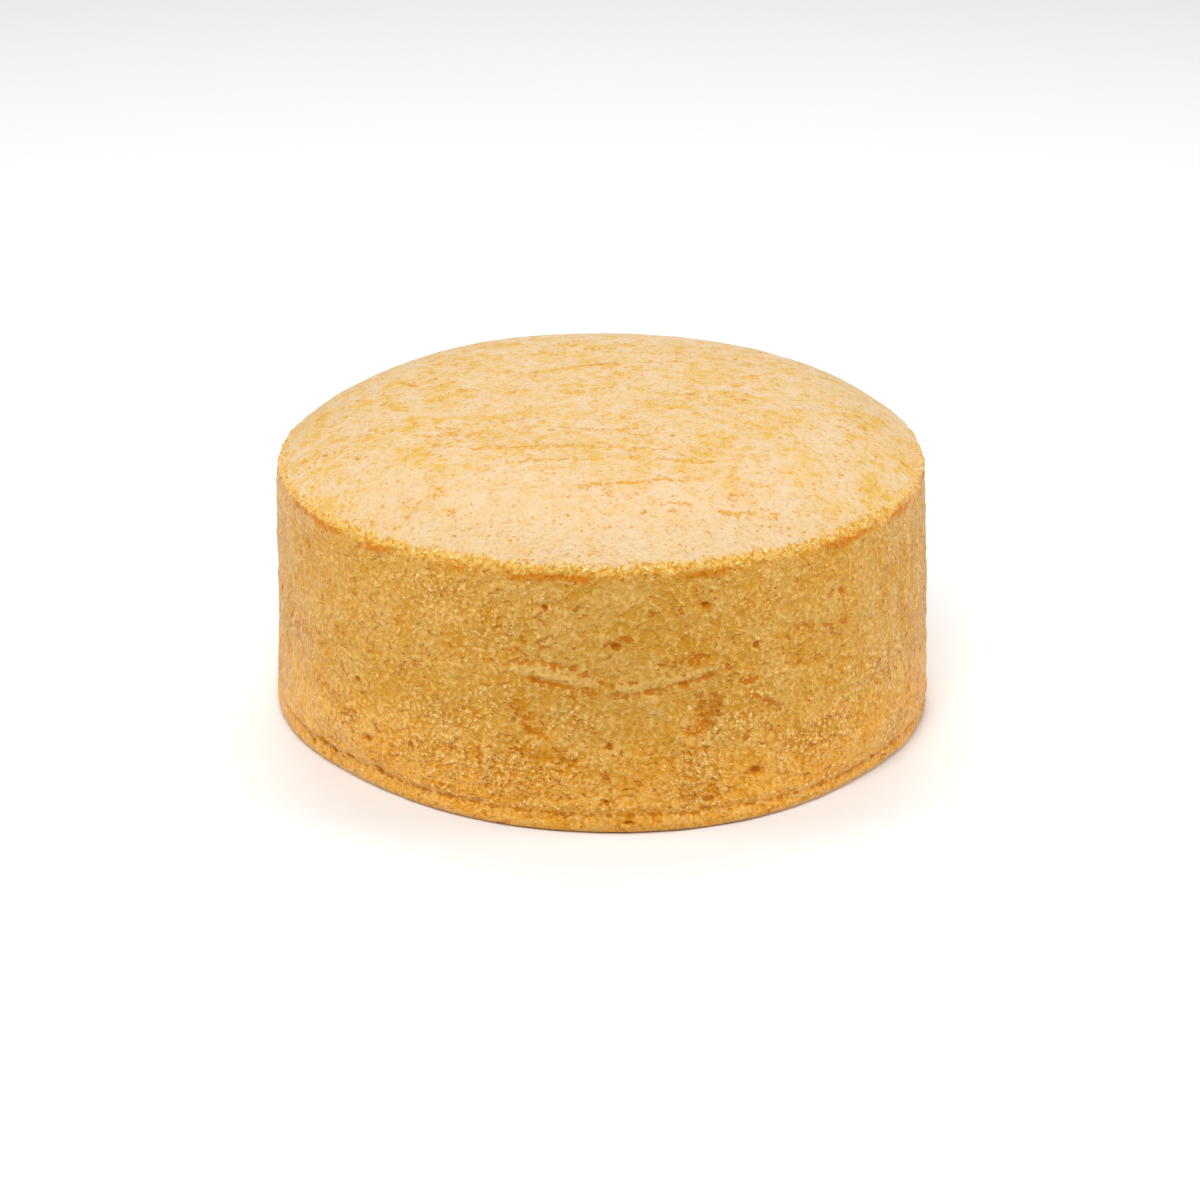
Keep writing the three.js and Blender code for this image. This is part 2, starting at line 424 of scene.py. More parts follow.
# %% Creases
# depth in millimetres, then points as turn in degrees and height in millimetres
CREASES = [
    (0.35, [(-14.7, 39.2), (-10.1, 40.2), (-7.5, 39.1), (-4.4, 38.4)]),
    (0.35, [(-13.6, 36.2), (-11.2, 35.7)]),
    (0.55, [(-11.2, 35.7), (-8.1, 34.7), (-5.6, 34.2)]),
    (0.35, [(-5, 33.9), (-3.4, 33.8), (-1.1, 33)]),
    (0.3, [(3, 32.4), (7.3, 32.9)]),
    (0.5, [(7.3, 32.9), (10.8, 33.6), (13, 34.5)]),
    (0.65, [(13.4, 34.6), (15.5, 35.2), (18.2, 35.7)]),
    (0.35, [(9.5, 39.1), (14.4, 40.4), (18.2, 40.3)]),
    (0.35, [(-14.3, 17.8), (-9.3, 18), (-6.5, 16.6), (-4.3, 15.6)]),
    (0.3, [(11.2, 17.3), (15.1, 18.7), (19.8, 19.5)]),
    (0.35, [(-14.8, 29.6), (-13.5, 25.8), (-11.8, 23.4), (-9.3, 22.8)]),
    (0.4, [(19.4, 30.3), (18.4, 26.2), (16.8, 22.9), (14.5, 22.1)]),
    (0.35, [(-20.8, 20.6), (-20.7, 15.9), (-20.9, 11.6)]),
    (0.2, [(-23.9, 39.5), (-29.5, 36.8), (-35.6, 34.5)]),
    (0.2, [(37.1, 42), (42.4, 41.7), (47.1, 40.9)]),
    (0.2, [(62.3, 48.6), (62.8, 38.8), (59.7, 34.2)]),
]
CREASE_WIDTH = 0.75 * MM
print(len(CREASES), "creases")

# %% Raised lips, which also get a painted highlight
# strength, then points as turn in degrees and height in millimetres
LIPS = [
    (1.0, [(-14.5, 38.3), (-9.5, 37.6), (-4.5, 36), (-1, 34.9)]),
    (1.0, [(2.5, 34.4), (8, 34.9), (13, 36.4), (18.5, 37.8)]),
    (0.8, [(-5.8, 50), (-4, 45.5)]),
    (0.8, [(1.6, 56.5), (4.2, 53.2)]),
    (0.7, [(-15.6, 33), (-15, 29), (-13, 24.6)]),
    (0.8, [(20, 33), (20.8, 28.6), (19.8, 24.4)]),
    (0.9, [(-19.5, 19), (-19.6, 11)]),
    (0.7, [(-12, 21.6), (-8, 21.6), (-5, 19.6)]),
    (0.7, [(-1, 46.8), (2.4, 46.2)]),
    (0.8, [(61.8, 55), (62, 46), (61, 37)]),
    (0.9, [(66.4, 58), (66.8, 47), (66, 35)]),
    (0.8, [(72, 57), (72.6, 45), (72, 33)]),
    (0.6, [(-67, 50), (-66.4, 42)]),
]
LIP_WIDTH = 1.2 * MM
LIP_RISE = 0.3 * MM
print(len(LIPS), "lips")

# %% Bent lines on the wall
rolled_out = np.column_stack([WALL_RADIUS * plain_turn, plain_height])


def on_the_wall(line):
    """Turns in degrees and heights in millimetres, as places on the wall rolled out flat."""
    return np.array([(WALL_RADIUS * math.radians(degrees), height * MM) for degrees, height in line])


def distance_to_line(spots, line):
    """Distance in a plane from every spot to a bent line."""
    nearest = np.full(len(spots), math.inf)
    for start, end in zip(line, line[1:]):
        step = end - start
        part = np.clip((spots - start) @ step / (step @ step), 0, 1)
        nearest = np.minimum(nearest, np.hypot(*(spots - start - part[:, None] * step).T))
    return nearest


def near_lines(lines, width):
    """How near each point of the wall is to the closest of some bent lines, each with its strength."""
    near = np.zeros(len(form))
    for strength, line in lines:
        near = np.maximum(near, strength * hill(distance_to_line(rolled_out, on_the_wall(line)), width))
    return near


# %% Carve them
PIT_DEPTH = 1.3 * MM
PIT_SOFTNESS = 0.85
PIT_REACH = 3  # in half widths, the hole's edge lies at 1

on_wall = (plain_height > 0.5 * MM) & (plain_height < RIM_HEIGHT)
carved = np.zeros(len(form))
for degrees, height, wide, tall in pits:
    across = arc_from(plain_turn, degrees) / (wide * MM / 2)
    upward = (plain_height - height * MM) / (tall * MM / 2)
    away = np.hypot(across, upward)
    carved += PIT_DEPTH * hill(away, PIT_SOFTNESS) * (away < PIT_REACH)
for depth, line in CREASES:
    carved += depth * MM * hill(distance_to_line(rolled_out, on_the_wall(line)), CREASE_WIDTH)
carved *= on_wall
lipped = near_lines(LIPS, LIP_WIDTH)

normals = np.empty(len(form) * 3)
cake.data.vertices.foreach_get("normal", normals)
normals = normals.reshape(-1, 3)
form += normals * (LIP_RISE * lipped - carved)[:, None]
write_points(cake, form)
print("deepest carving in mm:", round(carved.max() / MM, 2))

# %% [markdown]
# ## Marks that are only colour
# Shade is painted along the dents' edges and under the creases, partly with a darker stain, the
# crumb tore in short rows of dots, and the skin of the top wrinkled and freckled. A painter would
# brush them on by eye. Here each is a short bent line or a spot with a place and a size, and each point
# keeps how near it is to one of them.

# %% Painted shade and stains along the dents and creases
# strength, then points as turn in degrees and height in millimetres
SHADE_STAINS = [
    (1.0, [(-14.8, 31), (-13.5, 27), (-11.8, 24), (-9.5, 23)]),
    (1.0, [(19.2, 31), (18.6, 27.5), (17.2, 24.2), (14.5, 23)]),
    (0.9, [(17.2, 31), (16.8, 27.5), (15.6, 25)]),
    (0.8, [(-13, 31), (-11.8, 27.6), (-10.2, 25.2)]),
    (0.7, [(-20.4, 19), (-20.6, 15), (-20.9, 11)]),
    (0.9, [(-13, 18.3), (-9.3, 18.6), (-6.5, 17.6)]),
    (0.8, [(-14, 9.2), (-11, 9), (-8, 9.3)]),
    (1.0, [(13, 8.8), (16, 8.4), (19, 8)]),
    (0.8, [(14, 18.6), (16, 18.8)]),
    (0.6, [(-20, 34.4), (-16, 35)]),
    (0.9, [(-57.5, 21.8), (-55, 21.2), (-53.3, 20.4)]),
    (0.6, [(-56, 18.4), (-51, 18.4), (-47, 18)]),
    (0.8, [(-69, 31.6), (-61, 31)]),
    (0.7, [(-69, 33.4), (-63, 32.8)]),
    (0.8, [(15, 40), (18, 40.2)]),
    (0.7, [(35.5, 35), (39, 34.6)]),
    (0.7, [(24, 33.4), (27, 33.4)]),
    (0.6, [(14, 44.6), (16.5, 44.3)]),
    (0.9, [(-62.5, 53.2), (-60.5, 53.6)]),
    (0.6, [(57.5, 48), (58.5, 40), (57.5, 36)]),
    (0.7, [(64, 50), (64.2, 43), (63.6, 36)]),
    (0.5, [(69.4, 50), (69.6, 40)]),
]
SHADE_STAIN_WIDTH = 1.7 * MM
# how near each point is to a line of painted shade, partly a stain
shade_stained = near_lines(SHADE_STAINS, SHADE_STAIN_WIDTH) * on_wall
print(len(SHADE_STAINS), "stains,", int((shade_stained > 0.5).sum()), "points in them")

# %% Rows of small dots
# short rows where the crumb tore: points as turn in degrees and height in millimetres
TORN_ROWS = [
    [(-42.5, 32), (-35, 34.8), (-31, 36), (-28, 39.6)],
    [(-15.5, 40.2), (-11, 40.4), (-7, 38.8), (-2.5, 37.8)],
    [(-10, 43.3), (-8.6, 45.4), (-7.4, 46.6)],
    [(21, 38.4), (23.4, 34.4), (26, 29.6), (30, 26.4)],
    [(35.5, 41.3), (41, 41.6), (46.5, 41)],
    [(30, 15.6), (33.5, 17.4), (38, 18.8), (43, 20.4)],
    [(10, 38.8), (13, 40), (15, 40.3)],
    [(-49, 17.6), (-42.5, 17.4), (-38.5, 16.2)],
    [(-28.5, 4.8), (-20, 5.1)],
    [(1.5, 44.6), (4.5, 45.4)],
    [(-5, 53), (-3.4, 51.8), (-2, 50.4)],
]
TORN_WIDTH = 1.2 * MM
torn = near_lines([(1, line) for line in TORN_ROWS], TORN_WIDTH) * on_wall
print(len(TORN_ROWS), "torn rows,", int((torn > 0.5).sum()), "points in them")

# %% Wrinkles and freckles of the skin
# points in millimetres to the right of the middle and behind it
WRINKLES = [
    [(-29, -31.5), (-23, -31.8), (-17.6, -31), (-14.1, -29.4), (-7, -29.6)],
    [(-7, -29.6), (-3, -29.8), (1.4, -30.6), (8.1, -31.4), (13, -31.6)],
    [(-41, -22.6), (-31, -23), (-23.2, -21.9)],
    [(-25, -13.6), (-21, -13.9), (-18, -12.8)],
    [(-36.8, -17.6), (-31.8, -19)],
    [(-9, -17.6), (-3, -19.4), (3.7, -20.1), (8.6, -18)],
    [(5, -21), (8.5, -24), (10.4, -22)],
    [(-20.6, -39.2), (-14, -38.4), (-9.6, -38), (-3, -37.6)],
    [(12.4, -37), (17, -38.2), (22, -38.8), (24.5, -37.8)],
    [(-2.9, -51), (3.6, -50), (8, -49.4), (13.2, -47.6), (19.3, -47.6)],
    [(15, -56.6), (18, -57)],
    [(25.6, -57.8), (28.4, -57.9), (31.7, -57.2)],
    [(-12, 21), (-4, 24), (5, 26)],
]
# right of the middle, behind it and radius in millimetres
FRECKLES = [
    (18.3, 27.4, 1.3), (12.6, 29.4, 1), (12, 26.4, 0.9), (35, 17.4, 1.3), (36.8, 15.8, 1.2),
    (2.6, 8.8, 1), (-19, 9.6, 1), (3.6, 43, 1), (6, 40.6, 1), (-8.4, 42, 1), (12, 40.4, 0.8),
    (8.8, -23.4, 1.4), (-0.4, -27.6, 1.2), (-4.2, -51.9, 1.2), (0.8, -53.1, 1), (37.6, -55.1, 1.1),
    (-32.4, -56.9, 1.1), (-36.6, -50.3, 1), (-38.6, -47, 0.9), (28.7, -29.8, 1), (20.6, -38.6, 1.2),
    (-28, -31.4, 1.2), (60, -9, 1.1), (46, -16, 1), (30, -4, 0.8), (53, -35.6, 1), (-47, -17, 0.9),
]
WRINKLE_WIDTH = 1.0 * MM
FRECKLE_STRENGTH = 1.2
wrinkled = np.zeros(len(form))
for line in WRINKLES:
    wrinkle = np.array(line) * MM
    wrinkled = np.maximum(wrinkled, hill(distance_to_line(plain[:, :2], wrinkle), WRINKLE_WIDTH))
for right, back, radius in FRECKLES:
    away = np.hypot(plain[:, 0] - right * MM, plain[:, 1] - back * MM)
    wrinkled = np.maximum(wrinkled, FRECKLE_STRENGTH * hill(away, radius * MM))
wrinkled *= plain_height > RIM_HEIGHT
print(len(WRINKLES), "wrinkles,", len(FRECKLES), "freckles,", int((wrinkled > 0.5).sum()), "points in them")

# %% [markdown]
# ## Remembering where things are
# Blender keeps such values in two ways: a vertex group tells a modifier how strongly to act, and an
# attribute tells the material. A picture painted on the object would do too, but the attributes
# need no file and follow the shape when a size changes.


# %% Helpers for groups and attributes
def add_attribute(name, values):
    attribute = cake.data.attributes.new(name, "FLOAT", "POINT")
    attribute.data.foreach_set("value", values.astype(np.float32))


def add_group(name, weights, levels=32):
    """A vertex group, filled level by level because that is quicker than point by point."""
    group = cake.vertex_groups.new(name=name)
    steps = np.rint(weights * levels).astype(int)
    for step in range(1, levels + 1):
        group.add(np.flatnonzero(steps == step).tolist(), step / levels, "REPLACE")


# %% Groups for the wall, the top and the rows of beads
FREE_OF_TABLE = (0.2 * MM, 2 * MM)
TOP_BLEND = 1.2 * MM
BEADS_UNDER_RIM = 0.4 * MM
RIM_BEADS_WIDTH = 1.8 * MM
BEADS_OVER_LINE = 1.6 * MM
LINE_BEADS_WIDTH = 1.2 * MM
LINE_BEADS_SHARE = 0.7

off_table = smooth_rise(plain_height, *FREE_OF_TABLE)
on_top = smooth_rise(plain_height, RIM_HEIGHT - TOP_BLEND, RIM_HEIGHT + TOP_BLEND)
above_line = plain_height - tin_line(plain_turn)
rim_band = hill(plain_height - RIM_HEIGHT + BEADS_UNDER_RIM, RIM_BEADS_WIDTH)
line_band = hill(above_line - BEADS_OVER_LINE, LINE_BEADS_WIDTH)
add_group("wall", (1 - on_top) * off_table)
add_group("top", on_top)
add_group("beads", np.maximum(rim_band, LINE_BEADS_SHARE * line_band) * off_table)
print(len(cake.vertex_groups), "vertex groups")

# %% Attributes for the material
NEAR_SIDE = (30 * MM, 66 * MM)  # from the middle towards the front

add_attribute("level", plain_height / MM)
add_attribute("above_line", above_line / MM)
add_attribute("carved", carved / MM)
add_attribute("wrinkled", wrinkled)
add_attribute("shade_stained", shade_stained)
add_attribute("lipped", lipped)
add_attribute("torn", torn)
# painted light: how far towards the front a point lies, where the top is painted paler
add_attribute("near_side_light", smooth_rise(-plain[:, 1], *NEAR_SIDE))
print("the line of the tin is", (tin_line(plain_turn).min() / MM).round(2), "mm up at its lowest")

# %% [markdown]
# ## Rough and smooth places
# The tin let go of the crumb cleanly in some places and plucked it in others. A noise alone would
# put the rough places anywhere, so in front, where they can be seen, they are placed one by one.
# Behind, a slow noise takes over, so that the far side is uneven too. Other slow noises vary the
# colour and crowd the dots.

# %% Where the front is rough
# turn in degrees, height, width and tallness in millimetres, strength
ROUGH_FRONT = [
    (-29, 53, 11, 4.5, 0.8),
    (-18, 46, 8, 7, 0.7),
    (-11, 53, 6, 4, 0.5),
    (-27, 24, 10, 4, 0.9),
    (-20, 30, 6, 5, 0.5),
    (-15, 14, 9, 6.5, 1),
    (-28, 15, 11, 5, 0.8),
    (-4, 26, 7, 5, 0.7),
    (-2, 16, 6, 5, 0.5),
    (16, 13, 7, 7, 0.8),
    (22, 23, 9, 5, 0.7),
    (38, 17, 13, 5, 0.9),
    (27, 31, 6, 4, 0.5),
    (27, 51, 8, 6, 0.4),
    (-66, 28, 7, 6, 0.6),
    (-52, 12, 10, 4, 0.5),
    (56, 26, 9, 6, 0.7),
    (64, 50, 4, 8, 0.5),
    (60, 10, 8, 6, 0.6),
]
placed = np.zeros(len(form))
for degrees, height, wide, tall, strength in ROUGH_FRONT:
    across = arc_from(plain_turn, degrees) / (wide * MM)
    upward = (plain_height - height * MM) / (tall * MM)
    placed = np.maximum(placed, strength * hill(np.hypot(across, upward), 1.0))
print(len(ROUGH_FRONT), "rough places in front,", int((placed > 0.5).sum()), "points in them")


# %% Slow patches
def patches(size, share, blur=0.18, octaves=2, shift=0.0):
    """Soft patches of a size, which cover a share of the surface: 1 inside them."""
    spots = plain / size + shift
    values = np.array([clouds.fractal(spot, 1.0, 2.0, octaves) for spot in spots.tolist()])
    low, high = np.quantile(values, [max(0, 1 - share - blur), min(1, 1 - share + blur)])
    return smooth_rise(values, low, high)


FRONT_TURNS = (64, 78)  # degrees, the placed ones fade out between these
ROUGH_BEHIND = 0.7

behind = smooth_rise(np.abs(np.degrees(plain_turn)), *FRONT_TURNS)
add_attribute("rough", between(placed, ROUGH_BEHIND * patches(9 * MM, share=0.4), behind))
add_attribute("warm", patches(8 * MM, share=0.5, blur=0.4, octaves=3, shift=7.7))
add_attribute("crowd", patches(10 * MM, share=0.4, blur=0.2, shift=3.3))
add_attribute("mottle", patches(2.6 * MM, share=0.4, blur=0.3, shift=5.1))
names = [added.name for added in cake.data.attributes if added.data_type == "FLOAT"]
print(len(names), "attributes:", ", ".join(names))

# %% [markdown]
# ## Fine lumps
# Close up the wall is bumpy, the top almost smooth, and the rim and the edge over the tin's line
# are rows of beads. Each kind is a displace modifier with its own texture, held to its own vertex
# group, and applied at once. What is finer than the mesh is left to the material.

# %% Fine lumps and beads
LUMPS = [
    # name, texture, size of its features, strength, texture value that moves nothing, group
    ("wall_lumps", "CLOUDS", 5 * MM, 0.9 * MM, 0.7, "wall"),
    ("wall_grain", "CLOUDS", 1.8 * MM, 0.4 * MM, 0.7, "wall"),
    ("top_lumps", "CLOUDS", 9 * MM, 0.35 * MM, 0.75, "top"),
    ("top_grain", "CLOUDS", 2 * MM, 0.1 * MM, 0.75, "top"),
    ("rim_beads", "VORONOI", 1.5 * MM, -0.6 * MM, 0.45, "beads"),
]
select_only(cake)
for name, kind, size, strength, still, group in LUMPS:
    texture = bpy.data.textures.new(name, kind)
    texture.noise_scale = size
    modifier = cake.modifiers.new(name, "DISPLACE")
    modifier.texture = texture
    modifier.texture_coords = "LOCAL"
    modifier.direction = "NORMAL"
    modifier.strength = strength
    modifier.mid_level = still
    modifier.vertex_group = group
    bpy.ops.object.modifier_apply(modifier=name)

# %% Keep the lumps within the solid's box
lumpy = read_points(cake)
half_size = np.abs(lumpy[:, :2]).max(0)
lumpy[:, :2] *= np.minimum(1, np.array(cad_high[:2]) / half_size)
write_points(cake, lumpy)
bpy.ops.object.shade_smooth()
relief = ((read_points(cake) - form) * normals).sum(1) / MM
print("fine relief in mm, from", relief.min().round(2), "to", relief.max().round(2))

# %% [markdown]
# ## Laying out the skin
# The layout is made for baking the finish into one square picture. An automatic unwrap would put its
# seams anywhere. Cutting the wall into four strips beside the round top and a smaller underside
# fills that square well, so the grain stays sharp.

# %% Length along the section
def profile_length(radius, height):
    """Length along the section from the edge of the underside to a point of the wall or rim."""
    foot = BASE_EDGE * np.arctan2(radius - FOOT_RADIUS, BASE_EDGE - height)
    rim = RIM_RADIUS * (math.pi / 2 - np.arctan2(radius - WALL_RADIUS + RIM_RADIUS, height - WALL_HEIGHT))
    straight = BASE_EDGE * math.pi / 2 + height - BASE_EDGE
    length = np.where(height < BASE_EDGE, foot, straight)
    return np.where(height > WALL_HEIGHT, BASE_EDGE * (math.pi / 2 - 1) + WALL_HEIGHT + rim, length)


# %% Where each corner belongs
faces = cake.data.polygons
loop_point = np.empty(len(cake.data.loops), int)
cake.data.loops.foreach_get("vertex_index", loop_point)
loop_count = np.empty(len(faces), int)
faces.foreach_get("loop_total", loop_count)
loop_face = np.repeat(np.arange(len(faces)), loop_count)
face_middle = np.zeros((len(faces), 3))
np.add.at(face_middle, loop_face, plain[loop_point])
face_middle /= loop_count[:, None]
is_under = (face_middle[:, 2] < 10 * TINY)[loop_face]
is_top = (face_middle[:, 2] > RIM_HEIGHT)[loop_face]
print(int(is_top.sum()), "corners on the top,", int(is_under.sum()), "on the underside")

# %% Four strips of wall, the top and the underside
LAYOUT_SIDE = 274 * MM
GAP = 1.5 * MM
STRIPS = 4
STRIP_TURN = 2 * math.pi / STRIPS
STRIP_HEIGHT = 65 * MM
UNDER_SIZE = 50 * MM  # from its middle to its edge, smaller than it is
UNDER_PLACE = (60 * MM, 56 * MM)

face_turn = (np.arctan2(face_middle[:, 0], -face_middle[:, 1]) % (2 * math.pi))[loop_face]
strip = np.floor(face_turn / STRIP_TURN)
offset = plain_turn[loop_point] - face_turn
offset = np.arctan2(np.sin(offset), np.cos(offset))
wall_u = GAP + WALL_RADIUS * (face_turn + offset - strip * STRIP_TURN)
wall_v = GAP + strip * (STRIP_HEIGHT + GAP) + profile_length(plain_radius, plain_height)[loop_point]
strip_width = WALL_RADIUS * STRIP_TURN + 2 * GAP
top_u = strip_width + WALL_RADIUS + plain[loop_point, 0]
top_v = LAYOUT_SIDE - GAP - WALL_RADIUS + plain[loop_point, 1]
under_scale = UNDER_SIZE / FOOT_RADIUS
under_u = strip_width + UNDER_PLACE[0] + under_scale * plain[loop_point, 0]
under_v = UNDER_PLACE[1] + under_scale * plain[loop_point, 1]
u = np.where(is_under, under_u, np.where(is_top, top_u, wall_u)) / LAYOUT_SIDE
v = np.where(is_under, under_v, np.where(is_top, top_v, wall_v)) / LAYOUT_SIDE

# %% Write the layout
while cake.data.uv_layers:
    cake.data.uv_layers.remove(cake.data.uv_layers[0])
layout = cake.data.uv_layers.new(name="OFBake")
layout.data.foreach_set("uv", np.column_stack([u, v]).astype(np.float32).ravel())
print("layout from", u.min().round(3), v.min().round(3), "to", u.max().round(3), v.max().round(3))

# %% [markdown]
# ## Writing shader maths
# Long chains of Math nodes are hard to read. A small class stands for one socket and lets the
# usual signs add the nodes, so a pattern reads as a formula. Colours go through Mix nodes.


# %% Sockets as numbers
class Wire:
    def __init__(self, tree, socket):
        self.tree = tree
        self.socket = socket

    def node(self, kind, settings=None, inputs=None, output=0):
        """Adds any node: its settings first, then values or wires for its sockets."""
        added = self.tree.nodes.new(kind)
        for name, value in (settings or {}).items():
            setattr(added, name, value)
        for name, value in (inputs or {}).items():
            if isinstance(value, Wire):
                self.tree.links.new(value.socket, added.inputs[name])
            else:
                added.inputs[name].default_value = value
        return Wire(self.tree, added.outputs[output])

    def beside(self, output):
        """Another output of the same node."""
        return Wire(self.tree, self.socket.node.outputs[output])

    def maths(self, operation, first, second=0.0):
        return self.node("ShaderNodeMath", {"operation": operation}, {0: first, 1: second})

    def __add__(self, other):
        return self.maths("ADD", self, other)

    __radd__ = __add__

    def __sub__(self, other):
        return self.maths("SUBTRACT", self, other)

    def __rsub__(self, other):
        return self.maths("SUBTRACT", other, self)

    def __mul__(self, other):
        return self.maths("MULTIPLY", self, other)

    __rmul__ = __mul__

    def most(self, other):
        return self.maths("MAXIMUM", self, other)

    def step(self, low, high):
        """0 below low, 1 above high, smooth between."""
        inputs = {"Value": self, "From Min": low, "From Max": high}
        return self.node("ShaderNodeMapRange", {"interpolation_type": "SMOOTHSTEP"}, inputs)

    def mix(self, low, high):
        """Colour low where this is 0, colour high where it is 1. Sockets 6 and 7 take the colours."""
        inputs = {"Factor": self, 6: low, 7: high}
        return self.node("ShaderNodeMix", {"data_type": "RGBA"}, inputs, output=2)


# %% Colours as one sees them
def paint(red, green, blue, light, gloss=0.01):
    """A colour from 0 to 255, made linear, without the white gloss and the light on it."""
    linear = []
    for value in (red, green, blue):
        share = value / 255
        seen = share / 12.92 if share <= 0.04045 else ((share + 0.055) / 1.055) ** 2.4
        linear.append(max(0, seen - gloss) / light)
    return (*linear, 1)


# %% [markdown]
# ## Patterns
# Everything on the crumb is one of four patterns: soft mottling (noise), thin wandering lines (where
# a noise crosses one value), scattered dots (some of the cells of a Voronoi), and beads (all of its
# cells). Images would blur close up, so all of them are worked out in millimetres on the object.

# %% The material and its coordinates
material = bpy.data.materials.new("crumb")
material.use_nodes = True
tree = material.node_tree
shader = tree.nodes["Principled BSDF"]
start = Wire(tree, None)  # a wire without a socket, only for adding nodes
OBJECT_PLACE = 3  # outputs are taken by their number
ATTRIBUTE_VALUE = 2
NODE_COLOUR = 1

place = start.node("ShaderNodeTexCoord", output=OBJECT_PLACE)
in_mm = start.node("ShaderNodeVectorMath", {"operation": "SCALE"}, {0: place, "Scale": 1 / MM})


def attribute(name):
    return start.node("ShaderNodeAttribute", {"attribute_name": name}, output=ATTRIBUTE_VALUE)


def noise(size, detail=2, roughness=0.5, distortion=0.0, where=None):
    """Soft mottling, about even round 0.5, with features of a size in millimetres."""
    inputs = {"Vector": where or in_mm, "Scale": 1 / size, "Detail": detail}
    inputs.update({"Roughness": roughness, "Distortion": distortion})
    return start.node("ShaderNodeTexNoise", None, inputs)


# %% Coordinates that are jolted, and pressed flat
JOLT_SIZE = 0.9
JOLT_REACH = 0.9
FLATNESS = 1.6

jolt_colour = {0: noise(JOLT_SIZE, detail=1).beside(NODE_COLOUR), 1: (0.5, 0.5, 0.5)}
crooked = start.node("ShaderNodeVectorMath", {"operation": "SUBTRACT"}, jolt_colour)
jolt = start.node("ShaderNodeVectorMath", {"operation": "SCALE"}, {0: crooked, "Scale": JOLT_REACH})
jolted = start.node("ShaderNodeVectorMath", {"operation": "ADD"}, {0: in_mm, 1: jolt})
lying = start.node("ShaderNodeVectorMath", {"operation": "MULTIPLY"}, {0: jolted, 1: (1, 1, FLATNESS)})


# %% Scattered dots
def dots(spacing, share, radius, soft, where=None):
    """Scattered dots of up to a radius in millimetres, in a share of the cells: 1 inside them."""
    cell = start.node("ShaderNodeTexVoronoi", None, {"Vector": where or lying, "Scale": 1 / spacing})
    lot = start.node("ShaderNodeSeparateColor", None, {"Color": cell.beside(NODE_COLOUR)})
    second_lot = lot.beside(1)
    reach = (lot - 1 + share).step(0, 0.08) * (second_lot * 0.6 + 0.4) * radius
    return (reach - cell * spacing).step(0, soft)


# %% [markdown]
# ## The wall
# The wall was pressed on the tin: a golden surface, smooth in some places and beady in others,
# with fine dark orange dots where small bubbles opened. It is more orange towards the foot. The
# beads are one pattern, which fades in where an attribute says rough; their tops get a painted highlight
# and the gaps between them painted shade.
# Each colour is laid over the ones before through its own mask, as a painter glazes, because each
# mask can then be looked at and changed alone.

# %% What the points remember
level = attribute("level")
above_line = attribute("above_line")
carved_here = attribute("carved")
wrinkled_here = attribute("wrinkled")
shade_stained_here = attribute("shade_stained")
lipped_here = attribute("lipped")
torn_here = attribute("torn")
crowd = attribute("crowd")
warm = attribute("warm")
mottle = attribute("mottle")
near_side_light = attribute("near_side_light")
low_down = 1 - level.step(6, 30)
rough = (attribute("rough") + low_down * 0.25).step(0, 1)

# %% Mottling, beads and thin lines
broad = noise(3.2, detail=3, roughness=0.68, distortion=0.2)
fine = noise(1.1, distortion=0.3)
small = noise(0.45, detail=1)
tone = broad * 0.4 + fine * 0.6
bead = start.node("ShaderNodeTexVoronoi", None, {"Vector": jolted, "Scale": 1.0})
hairs = 1 - start.maths("ABSOLUTE", broad - 0.53).step(0.002, 0.014)
tears = noise(2.4, roughness=0.6, distortion=0.5, where=lying)

# %% Where the skin begins and where the bright beads of the foot lie
edge = level + (mottle - 0.5) * 0.8 + (fine - 0.5) * 1.0
rim_level = RIM_HEIGHT / MM
skin_here = edge.step(rim_level, rim_level + 0.8)
line_here = above_line.step(0.5, 1.2) * (1 - above_line.step(1.8, 2.6))

# %% Holes and glints
torn_open = (tears + crowd * 0.03 + rough * 0.02 + torn_here * 0.12 + shade_stained_here * 0.06).step(0.63, 0.72)
share_here = 0.08 + 0.1 * crowd + 0.16 * rough + skin_here * 0.2
crowded = share_here + 0.3 * torn_here + 0.2 * shade_stained_here + 0.35 * wrinkled_here
small_dots = dots(1.5, crowded, radius=0.58, soft=0.16)
big_dots = dots(3.9, 0.12 + 0.12 * crowd + 0.25 * torn_here, radius=0.95, soft=0.3)
holes = small_dots.most(big_dots).most(torn_open)
glints = dots(1.05, 0.1 + 0.6 * rough + 0.9 * line_here, radius=0.5, soft=0.25, where=jolted)
print(len(tree.nodes), "nodes for the masks")

# %% Golden base of the wall
WALL_LIGHT = 1.05


def wall_paint(red, green, blue):
    return paint(red, green, blue, WALL_LIGHT)


upper = warm.mix(wall_paint(209, 159, 77), wall_paint(205, 148, 54))
lower = warm.mix(wall_paint(237, 174, 76), wall_paint(233, 163, 55))
wall = low_down.mix(upper, lower)
uneven = 0.3 + 0.4 * rough
wall = ((0.5 - tone).step(0.01, 0.1) * (uneven + 0.06)).mix(wall, wall_paint(197, 133, 40))
wall = ((tone - 0.5).step(0.02, 0.12) * uneven).mix(wall, wall_paint(228, 183, 106))
wall = ((fine + small * 0.4).step(0.73, 0.82) * uneven).mix(wall, wall_paint(244, 204, 132))
wall = (hairs * 0.3).mix(wall, wall_paint(238, 196, 120))

# %% Beads with painted highlights and shade, stains, lips and holes of the wall
# painted shade in the gaps between the beads, then a painted highlight on their tops
bead_gap_shade = (bead + (fine - 0.5)).step(0.48, 0.8)
wall = (bead_gap_shade * rough * 0.7).mix(wall, wall_paint(204, 127, 32))
bead_top_highlight = 1 - (bead + (0.5 - fine)).step(0.12, 0.42)
wall = (bead_top_highlight * rough * 0.7).mix(wall, wall_paint(247, 204, 121))
